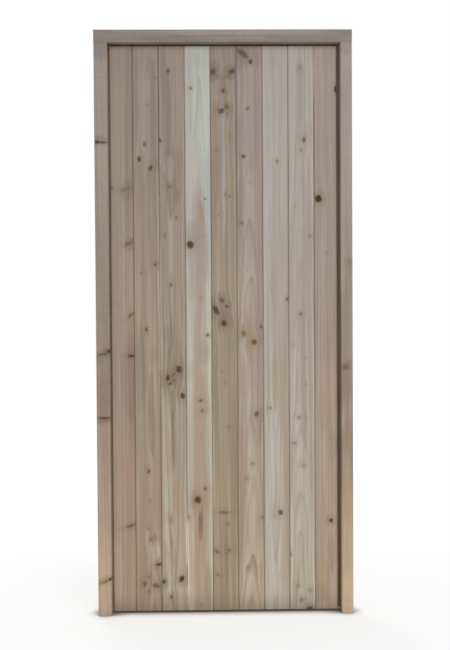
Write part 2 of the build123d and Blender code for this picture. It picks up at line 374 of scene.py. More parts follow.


# Larch: matt warm brown heartwood and pale sapwood, striped by darker summer wood that bends round
# the knots, and greyer where the weather has reached it. It also darkens towards the top, which is
# painted shade. The saw has left ripples and fuzz on it that dull it further, and a plane has left none.
def larch(
    name, start, turn, log, knots=(), patches=(), stain_depth=60.0,
    sawn=False, joints=None, weather=0.55, foot_darkness=0.0,
):
    """Larch cut from a log. Lengths are in mm from the timber's own corner: across, through, along.

    log holds the pith's place across and through, its lean in mm a metre, the ring width, three
    tones (slow growth, fast growth, summer wood), and, where sapwood shows, the heart's radius and
    the sapwood's tone. patches are (across, along, half width, half height, tone, strength), and
    joints is a board's width where dirt has settled in the V joints at its sides.
    """
    material = bpy.data.materials.new(name)
    tree = empty_tree(material)
    geometry = add(tree, "TexCoord").outputs
    spot = {"Vector": geometry["Object"], "Location": start, "Rotation": turn, "Scale": (MM, MM, MM)}
    spot = add(tree, "Mapping", spot, vector_type="TEXTURE")

    # The grain wanders a little, and so does each knot's rim. A timber's place sets its patterns
    # apart from every other one's.
    apart = tuple(timbers_apart * c for c in start)
    slow = add(tree, "VectorMath", [spot, per_mm(167, 625), apart], operation="MULTIPLY_ADD")
    slow = add(tree, "TexNoise", {"Vector": slow, "Scale": 1.0, "Detail": 2.0}).outputs["Color"]
    slow = add(tree, "VectorMath", [slow, noise_middle], operation="SUBTRACT")
    wandered = add(tree, "VectorMath", [slow, wander_most, spot], operation="MULTIPLY_ADD")
    rim_size = 11.765
    ragged = add(tree, "TexNoise", {"Vector": spot, "Scale": 1 / rim_size, "Detail": 1.0}).outputs["Color"]
    ragged = add(tree, "VectorMath", [ragged, noise_middle], operation="SUBTRACT")
    ragged = add(tree, "VectorMath", [ragged, knot_rim_most, spot], operation="MULTIPLY_ADD")
    nearest, shade, shift = laid_knots(tree, ragged.outputs[0], knots)
    bent = add(tree, "CombineXYZ", {"X": shift})
    bent = add(tree, "VectorMath", [wandered, bent], operation="ADD")
    radius, summer = year_rings(tree, bent, log)

    # Runs of slow and fast years show as stripes about 8 mm apart. Larch's fibres are 0.04 mm wide,
    # too fine to show, so they are drawn 0.6 mm wide, with streaks of 5 mm among them.
    years_run = 7.69
    growth = add(tree, "Math", [radius, 1 / years_run], operation="MULTIPLY")
    growth = add(tree, "TexNoise", {"W": growth, "Scale": 1.0, "Detail": 3.0}, noise_dimensions="1D")
    growth = add(tree, "MapRange", {"Value": growth, "From Min": 0.35, "From Max": 0.65})
    streak = add(tree, "VectorMath", [bent, per_mm(5, 417), apart], operation="MULTIPLY_ADD")
    streak = add(tree, "TexNoise", {"Vector": streak, "Scale": 1.0, "Detail": 3.0, "Roughness": 0.6})
    streak = add(tree, "MapRange", {"Value": streak, "From Min": 0.35, "From Max": 0.65, "To Min": -1.0})
    fibre = add(tree, "VectorMath", [spot, per_mm(0.625, 33.33), apart], operation="MULTIPLY_ADD")
    fibre = add(tree, "TexNoise", {"Vector": fibre, "Scale": 1.0, "Detail": 3.0, "Roughness": 0.6})

    slow_growth, fast_growth, summer_wood = (linear(tone) for tone in log["tones"])
    colour = add(tree, "Mix", {"Factor": growth, "A": slow_growth, "B": fast_growth}, data_type="RGBA")
    if "heart" in log:
        heart_fades, sap_full = log["heart"] - 5, log["heart"] + 3
        sapwood = {"Value": radius, "From Min": heart_fades, "From Max": sap_full}
        sapwood = {"Factor": add(tree, "MapRange", sapwood), "A": colour, "B": linear(log["sapwood"])}
        colour = add(tree, "Mix", sapwood, data_type="RGBA")

    # Long bands where the wood runs rosier, greyer or more olive
    bands = add(tree, "VectorMath", [bent, per_mm(16.7, 1110), apart], operation="MULTIPLY_ADD")
    bands = add(tree, "TexNoise", {"Vector": bands, "Scale": 1.0, "Detail": 3.0, "Roughness": 0.6})
    bands = add(tree, "SeparateXYZ", [bands.outputs["Color"]]).outputs
    for channel, tone in (("X", "#96776a"), ("Y", "#aeaa9b"), ("Z", "#8f8066")):
        band = {"Value": bands[channel], "From Min": 0.47, "From Max": 0.68, "To Max": log.get("bands", 0.5)}
        band = add(tree, "MapRange", band, interpolation_type="SMOOTHSTEP")
        colour = add(tree, "Mix", {"Factor": band, "A": colour, "B": linear(tone)}, data_type="RGBA")
    raggedness = 0.13
    for across, along, wide, tall, tone, strength in patches:
        local = {"Vector": bent, "Location": (across, 0, along), "Scale": (wide, stain_depth, tall)}
        local = add(tree, "Mapping", local, vector_type="TEXTURE")
        away = add(tree, "VectorMath", [local], operation="LENGTH").outputs["Value"]
        away = add(tree, "Math", [streak, raggedness, away], operation="MULTIPLY_ADD")
        mask = {"Value": away, "From Min": 1.15, "From Max": 0.55, "To Max": strength}
        mask = add(tree, "MapRange", mask, interpolation_type="SMOOTHSTEP")
        colour = add(tree, "Mix", {"Factor": mask, "A": colour, "B": linear(tone)}, data_type="RGBA")
    figure = add(tree, "Math", [summer, log.get("figure", 0.55)], operation="MULTIPLY")
    colour = add(tree, "Mix", {"Factor": figure, "A": colour, "B": summer_wood}, data_type="RGBA")
    streak_contrast, fibre_contrast, between_fibres = 0.07, 0.36, 0.803
    grain = add(tree, "Math", [streak, streak_contrast, between_fibres], operation="MULTIPLY_ADD")
    grain = add(tree, "Math", [fibre, fibre_contrast, grain], operation="MULTIPLY_ADD")
    colour = add(tree, "VectorMath", {0: colour, "Scale": grain}, operation="SCALE")
    colour = knot_wood(tree, colour, spot, nearest, shade)
    colour = greyed_and_shaded_above(tree, colour, geometry, shade, weather, log.get("grey", "#716a64"), foot_darkness)
    if joints:
        dirt_reach, joint_edge = 5, 0.5
        dirt = add(tree, "SeparateXYZ", [spot]).outputs["X"]
        dirt = add(tree, "Math", [dirt, joints / 2], operation="SUBTRACT")
        dirt = add(tree, "Math", [dirt], operation="ABSOLUTE")
        dirt = {"Value": dirt, "From Min": joints / 2 - dirt_reach, "From Max": joints / 2 - joint_edge}
        dirt = add(tree, "MapRange", dirt | {"To Max": 0.04}, interpolation_type="SMOOTHSTEP")
        colour = add(tree, "Mix", {"Factor": dirt, "A": colour, "B": linear("#5e4d41")}, data_type="RGBA")

    # Relief in mm: the harder stripes and the fibres stand a little proud
    stripe_height, fibre_height = 0.22, 0.1
    relief = add(tree, "VectorMath", [wandered, per_mm(2.86, 250)], operation="MULTIPLY")
    relief = add(tree, "TexNoise", {"Vector": relief, "Scale": 1.0, "Detail": 2.0})
    relief = add(tree, "Math", [relief, stripe_height], operation="MULTIPLY")
    relief = add(tree, "Math", [fibre, fibre_height, relief], operation="MULTIPLY_ADD")
    planed_rough, sawn_rough, rough_spread = 0.62, 0.74, 0.16
    rough = sawn_rough if sawn else planed_rough
    rough = add(tree, "Math", [fibre, rough_spread, rough], operation="MULTIPLY_ADD")
    if sawn:
        # The saw's ripples are 3 mm apart. Its fuzz of torn fibres is finer than shows, and is
        # drawn 1 mm wide.
        ripple_height, fuzz_height, fuzz_size = 0.5, 0.35, 1.111
        ripple = add(tree, "VectorMath", [spot, per_mm(33.33, 3.333)], operation="MULTIPLY")
        ripple = add(tree, "TexNoise", {"Vector": ripple, "Scale": 1.0, "Detail": 2.0})
        fuzz = add(tree, "TexNoise", {"Vector": spot, "Scale": 1 / fuzz_size, "Detail": 3.0})
        relief = add(tree, "Math", [ripple, ripple_height, relief], operation="MULTIPLY_ADD")
        relief = add(tree, "Math", [fuzz, fuzz_height, relief], operation="MULTIPLY_ADD")
        marks = {"Value": ripple, "From Min": 0.3, "From Max": 0.7, "To Min": 0.93, "To Max": 1.05}
        marks = add(tree, "MapRange", marks)
        colour = add(tree, "VectorMath", {0: colour, "Scale": marks}, operation="SCALE")

    # End grain drinks in more weather, so it is darker
    facing = Vector((0, 0, 1))
    facing.rotate(Euler(turn))
    end = add(tree, "VectorMath", [geometry["Normal"], facing], operation="DOT_PRODUCT").outputs["Value"]
    end = add(tree, "Math", [end], operation="ABSOLUTE")
    end = {"Value": end, "From Min": 0.8, "From Max": 0.98, "To Min": 1.0, "To Max": 0.72}
    end = add(tree, "MapRange", end)
    colour = add(tree, "VectorMath", {0: colour, "Scale": end}, operation="SCALE")

    bump = add(tree, "Bump", {"Strength": 1.0, "Distance": MM, "Height": relief})
    wood = {"Base Color": colour, "Roughness": rough, "IOR": 1.45, "Normal": bump}
    add(tree, "OutputMaterial", {"Surface": add(tree, "BsdfPrincipled", wood)})
    return material


def rounded(outline, radii, steps=2):
    """Ease the corners of a closed outline with small arcs."""
    eased = []
    count = len(outline)
    for i, (corner, radius) in enumerate(zip(outline, radii)):
        corner = Vector(corner)
        if not radius:
            eased.append(corner)
            continue
        before = (Vector(outline[i - 1]) - corner).normalized()
        after = (Vector(outline[(i + 1) % count]) - corner).normalized()
        half = before.angle(after) / 2
        reach = radius / math.tan(half)
        centre = corner + (before + after).normalized() * radius / math.sin(half)
        first = corner + before * reach - centre
        last = corner + after * reach - centre
        sweep_angle = first.angle_signed(last)
        for k in range(steps + 1):
            arm = first.copy()
            arm.rotate(Matrix.Rotation(-sweep_angle * k / steps, 2))
            eased.append(centre + arm)
    return eased


def divided(outline, step):
    """Split the long sides of a closed outline, so that none is longer than the step."""
    points = []
    for here, there in zip(outline, outline[1:] + outline[:1]):
        parts = max(1, math.ceil((there - here).length / step))
        points += [here.lerp(there, k / parts) for k in range(parts)]
    return points


same_point = 1e-7
sharp_edge = math.radians(32)


def timber_mesh(name, outline_at, stations, place, unevenness):
    """Run an outline along a timber's length. Lengths are in mm in the timber's own axes.

    place is the timber's matrix, and unevenness tells how far a point may stand in from the true
    surface: it takes the point and gives its shift across and through.
    """
    points, faces = [], []
    size = 0
    for along in stations:
        outline = outline_at(along)
        size = len(outline)
        for across, through in outline:
            side, deep = unevenness(across, through, along)
            points.append(place @ Vector((across + side, through + deep, along)))
    for k in range(len(stations) - 1):
        for i in range(size):
            j = (i + 1) % size
            faces.append((k * size + i, k * size + j, (k + 1) * size + j, (k + 1) * size + i))
    faces.append(tuple(reversed(range(size))))
    faces.append(tuple(range((len(stations) - 1) * size, len(stations) * size)))
    mesh = bpy.data.meshes.new(name)
    mesh.from_pydata(points, [], faces)
    work = bmesh.new()
    work.from_mesh(mesh)
    bmesh.ops.remove_doubles(work, verts=work.verts, dist=same_point)
    bmesh.ops.recalc_face_normals(work, faces=work.faces)
    work.to_mesh(mesh)
    work.free()
    mesh.shade_smooth()
    mesh.set_sharp_from_angle(angle=sharp_edge)
    made = bpy.data.objects.new(name, mesh)
    bpy.context.collection.objects.link(made)
    return made


def stations_between(low, high, step):
    """Even stations along a timber."""
    count = math.ceil((high - low) / step)
    return [low + (high - low) * k / count for k in range(count + 1)]


def smooth_noise(place, size, seed):
    """Noise between -1 and 1 that changes over the given size in mm."""
    return noise.noise(Vector(place) / size + Vector((seed * 7.3, seed * 3.1, seed * 5.7)))


def local_matrix(start, turn):
    """From a timber's own axes in mm to the frame's metres."""
    return Matrix.Translation(start) @ Euler(turn).to_matrix().to_4x4() @ Matrix.Scale(MM, 4)


frame_depth = 75.0
rebate_width = 16.0
shoulder_depth = 45.0
frame_arris = 1.5
rebate_corner = 0.3
frame_step = 9.0
frame_face_step = 6.0
chip_depth, chip_length, chip_fade = 0.7, 28, 3
wave_depth, wave_length = 0.14, 60


def sawn_unevenness(width, seed):
    """Broken arrises and a slightly wavy face, always inside the true surface."""

    def shift(across, through, along):
        to_side = min(across, width - across)
        to_face = min(through, frame_depth - through)
        edge = math.exp(-(to_side + to_face) / chip_fade)
        chipped = chip_depth * edge * (1 + smooth_noise((across, through, along), chip_length, seed)) / 2
        wavy = wave_depth * (1 + smooth_noise((across, through, along), wave_length, seed + 3)) / 2
        inwards = chipped + wavy
        side = inwards if across < width / 2 else -inwards
        deep = inwards if through < frame_depth / 2 else -inwards
        return side, deep

    return shift


def rebated_outline(width, far_side):
    """A frame timber's section, with the rebate at its far side or its near one."""
    inner = width - rebate_width
    outline = [(0, 0), (width, 0), (width, shoulder_depth)]
    outline += [(inner, shoulder_depth), (inner, frame_depth), (0, frame_depth)]
    radii = [frame_arris] * 3 + [rebate_corner] + [frame_arris] * 2
    if not far_side:
        outline = [(width - across, through) for across, through in reversed(outline)]
        radii = list(reversed(radii))
    return divided(rounded(outline, radii), frame_face_step)


# Tones that come and go along larch: sapwood, heart, and the stains round its knots
sap, milk, cream = "#b6bdb6", "#c2bfb2", "#bfb19a"
stone, olive, straw = "#a39c90", "#948b70", "#a98f69"
rose, rust, umber = "#a5877a", "#8f6c5c", "#7b6654"

jamb_logs = {
    "hinge_jamb": dict(
        pith=(60, 90), lean=10, ring=3.6, tones=("#b7a18d", "#a5907b", "#8b725e"), bands=0.35,
        grey="#7c7875", figure=0.4,
    ),
    "lock_jamb": dict(
        pith=(-20, 80), lean=-12, ring=3.4, tones=("#baa590", "#aa9481", "#8e7560"), bands=0.35,
        grey="#827c78", figure=0.4,
    ),
}
jamb_patches = {
    "hinge_jamb": [
        (24, 1850, 30, 300, "#918b89", 0.35), (24, 1992, 50, 60, "#7b716b", 0.8),
        (24, 1050, 40, 480, umber, 0.3), (34, 700, 14, 420, rose, 0.4), (12, 640, 12, 300, stone, 0.35),
        (14, 905, 20, 26, "#8a7950", 0.75), (38, 925, 14, 20, "#77674a", 0.7),
        (26, 690, 28, 14, "#806d4d", 0.6), (26, 430, 14, 300, rose, 0.45),
        (24, 140, 40, 170, "#bea58c", 0.8), (22, 112, 26, 17, "#9c9063", 0.7),
        (24, 72, 16, 40, rose, 0.15), (24, 380, 40, 200, "#b49d87", 0.35), (22, 1668, 26, 16, umber, 0.5),
        (30, 790, 30, 110, umber, 0.32), (38, 1000, 18, 170, umber, 0.22),
        (28, 560, 26, 150, umber, 0.14), (24, 765, 36, 95, "#846449", 0.32),
    ],
    "lock_jamb": [
        (20, 1850, 40, 300, "#a69e96", 0.6), (24, 1996, 50, 36, "#8a817a", 0.6),
        (24, 1050, 40, 380, umber, 0.3), (28, 1160, 20, 90, "#8f765f", 0.4),
        (24, 770, 40, 150, "#9f8675", 0.6), (24, 640, 30, 70, "#a5806c", 0.35),
        (8, 1010, 22, 185, umber, 0.42), (8, 785, 22, 90, umber, 0.38), (16, 530, 30, 190, umber, 0.36),
        (24, 240, 40, 280, "#bfa987", 0.6), (24, 60, 40, 110, "#c9b193", 0.8),
        (8, 1500, 8, 500, stone, 0.4), (18, 872, 20, 24, umber, 0.45), (16, 800, 30, 62, "#846449", 0.28),
        (22, 605, 30, 65, "#8f7050", 0.26), (22, 415, 34, 95, "#a07f5c", 0.26),
    ],
}
jamb_knots = {
    "hinge_jamb": [
        (22, 1660, 32, 7, 0, 0.85), (11, 1661, 10, 9, 0, 1.0), (22, 922, 26, 5, -14, 0.8),
        (44, 932, 8, 8, 0, 1.0), (28, 698, 34, 5, 0, 0.9), (26, 122, 30, 5, -18, 0.6),
        (42, 130, 8, 7, 0, 0.95),
    ],
    "lock_jamb": [(15, 872, 15, 11, 0, 0.65), (30, 1240, 9, 7, 0, 0.45)],
}
upright = (0, 0, 0)
for node in ("hinge_jamb", "lock_jamb"):
    low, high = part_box(node)
    jamb_face = (high.x - low.x) / MM
    outline = rebated_outline(jamb_face, far_side=node == "hinge_jamb")
    start = Vector((low.x, low.y, low.z))
    made = timber_mesh(
        f"larch_{node}",
        lambda along: outline,
        stations_between(0, (high.z - low.z) / MM, frame_step),
        local_matrix(start, upright),
        sawn_unevenness(jamb_face, seed=len(node)),
    )
    sawn_larch = larch(
        f"sawn larch {node}", start, upright, jamb_logs[node], jamb_knots[node], jamb_patches[node], sawn=True
    )
    made.data.materials.append(sawn_larch)
    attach(made, "frame")
    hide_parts(node)


# Head
# The top timber is the same sawn larch, laid over both jambs and screwed down into them. Its
# rebate runs only between the jambs' rebates, so its ends are whole.
low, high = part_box("head")
head_face = (high.z - low.z) / MM
head_length = (high.x - low.x) / MM
rebate_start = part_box("hinge_jamb")[1].x / MM - rebate_width
rebate_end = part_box("lock_jamb")[0].x / MM + rebate_width
rebated_head = rebated_outline(head_face, far_side=True)
just_before = 0.5
cut_back = head_face - rebate_width - just_before
cut_behind = shoulder_depth - just_before
whole_head = [Vector((head_face, p.y)) if p.x > cut_back and p.y > cut_behind else p for p in rebated_head]


def head_outline_at(along):
    """Whole at the ends, and rebated between them."""
    return rebated_head if rebate_start <= along <= rebate_end else whole_head


lying = (0, math.radians(90), 0)
head_start = Vector((low.x, low.y, high.z))
rebate_end_length = 0.02
too_close = 1
rebate_ends = [rebate_start - rebate_end_length, rebate_start, rebate_end, rebate_end + rebate_end_length]
even = stations_between(0, head_length, frame_step)
even = [s for s in even if min(abs(s - e) for e in rebate_ends) > too_close]
made = timber_mesh(
    "larch_head",
    head_outline_at,
    sorted(even + rebate_ends),
    local_matrix(head_start, lying),
    sawn_unevenness(head_face, seed=21),
)
head_log = dict(pith=(70, 100), lean=14, ring=3.4, tones=("#a5978a", "#93857a", "#796a5f"))
head_patches = [
    (38, 370, 13, 70, "#82745c", 0.6), (40, 540, 11, 90, "#82745c", 0.55),
    (9, 520, 10, 420, "#b5aba0", 0.55), (14, 860, 14, 110, "#7d736c", 0.55),
    (30, 50, 26, 70, "#847a74", 0.5), (26, 700, 14, 120, "#8f8578", 0.4),
    (22, 200, 12, 130, "#8a7f74", 0.4), (6, 160, 7, 120, "#a39a90", 0.45),
    (34, 760, 10, 120, "#7b7062", 0.45), (37, 265, 13, 120, "#6e6155", 0.45),
    (24, 310, 8, 50, "#6e6155", 0.4), (36, 640, 11, 50, "#6e6155", 0.3),
    (32, 850, 12, 50, "#6e6155", 0.3), (13, 620, 9, 270, "#bfb4a8", 0.42),
]
head_knots = [(30, 610, 7, 10, 0, 0.3), (14, 330, 6, 9, 0, 0.25)]
sawn_larch = larch("sawn larch head", head_start, lying, head_log, head_knots, head_patches, sawn=True)
made.data.materials.append(sawn_larch)
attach(made, "frame")
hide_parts("head")


# Boards
# Nine planed larch boards, tongued and grooved with V joints, and screwed to the battens from the
# back. Each is a different tree: its own tones, pith and knots, read from its place in the door.
vee = 3.0
shoulder_gap = 0.6
back_arris, back_easing = 1.0, 0.4
tongue_length = 7.0
tongue_from_face = 8.0
tongue_thickness = 6.0
tongue_easing = 1.0
groove_side_clearance = 0.2
board_arris = 0.8
board_thick = (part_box("board_1")[1].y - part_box("board_1")[0].y) / MM
board_step = 8.0
board_face_step = 6.0
most_cup, most_proud = 0.35, 0.25
board_foot_darkness = 0.35
wear_depth, wear_length, wear_fade = 0.22, 45, 3


def board_outline(width, grooved, tongued):
    """A board's section: face, V chamfers, tongue and groove."""
    right = width - (shoulder_gap if tongued else 0)
    tongue_back = tongue_from_face + tongue_thickness
    outline = [(vee, 0), (0, vee)]
    radii = [board_arris, board_arris / 2]
    if grooved:
        mouth = tongue_from_face - groove_side_clearance
        mouth_back = tongue_back + groove_side_clearance
        outline += [(0, mouth), (tongue_length, mouth), (tongue_length, mouth_back), (0, mouth_back)]
        radii += [0] * 4
    outline += [(0, board_thick - back_arris), (back_arris, board_thick)]
    outline += [(right - back_arris, board_thick), (right, board_thick - back_arris)]
    radii += [back_easing] * 4
    if tongued:
        tip = right + tongue_length
        outline += [(right, tongue_back), (tip, tongue_back)]
        outline += [(tip, tongue_from_face), (right, tongue_from_face)]
        radii += [0, tongue_easing, tongue_easing, 0]
    outline += [(right, vee), (right - vee, 0)]
    radii += [board_arris / 2, board_arris]
    return divided(rounded(outline, radii), board_face_step)


def planed_unevenness(width, number):
    """A slight cup, and arrises that a plane and some years have left uneven."""
    cup = random.Random(number).uniform(-most_cup, most_cup)
    proud = random.Random(number + 40).uniform(-most_proud, most_proud)

    def shift(across, through, along):
        bow = cup * ((across / width - 0.5) * 2) ** 2 + proud
        edge = math.exp(-min(across, width - across) / wear_fade)
        worn = wear_depth * edge * smooth_noise((across, through, along), wear_length, number)
        return 0.5 * worn, bow * (0.5 if through > vee else 1.0) + worn

    return shift


# A knot's or patch's place is across its board from the left edge, and up from the floor
board_logs = {
    1: dict(pith=(-170, 60), lean=12, ring=2.4, tones=("#b39b88", "#a28975", "#8a6c5c"), bands=0.4),
    2: dict(pith=(60, 110), lean=-6, ring=2.6, tones=("#ae9883", "#9d8671", "#836959"), bands=0.5),
    3: dict(pith=(42, 60), lean=9, ring=3.0, tones=("#bbaa94", "#a5927c", "#7e6756"), figure=0.65, bands=0.5),
    4: dict(
        pith=(52, 43), lean=-8, ring=3.0, tones=("#b9a48d", "#ad957e", "#9b826c"), heart=54.5,
        sapwood="#c6c2b4", figure=0.42, bands=0.25, grey="#8a8784",
    ),
    5: dict(pith=(150, 90), lean=14, ring=2.4, tones=("#ad9a81", "#9a866c", "#816c54"), bands=0.45),
    6: dict(
        pith=(46, 140), lean=-10, ring=2.8, tones=("#c1ae98", "#ac9680", "#8e745f"), figure=0.68,
        bands=0.58, grey="#787074",
    ),
    7: dict(
        pith=(40, 70), lean=10, ring=2.6, tones=("#c4b9a8", "#b4a694", "#978471"), figure=0.52,
        grey="#8a8a8e",
    ),
    8: dict(
        pith=(44, 130), lean=-12, ring=2.4, tones=("#c9bdac", "#b7a895", "#98826f"), figure=0.5,
        grey="#838489",
    ),
    9: dict(
        pith=(220, 80), lean=10, ring=2.4, tones=("#bea893", "#ac957f", "#917664"), bands=0.4,
        grey="#7a777a",
    ),
}
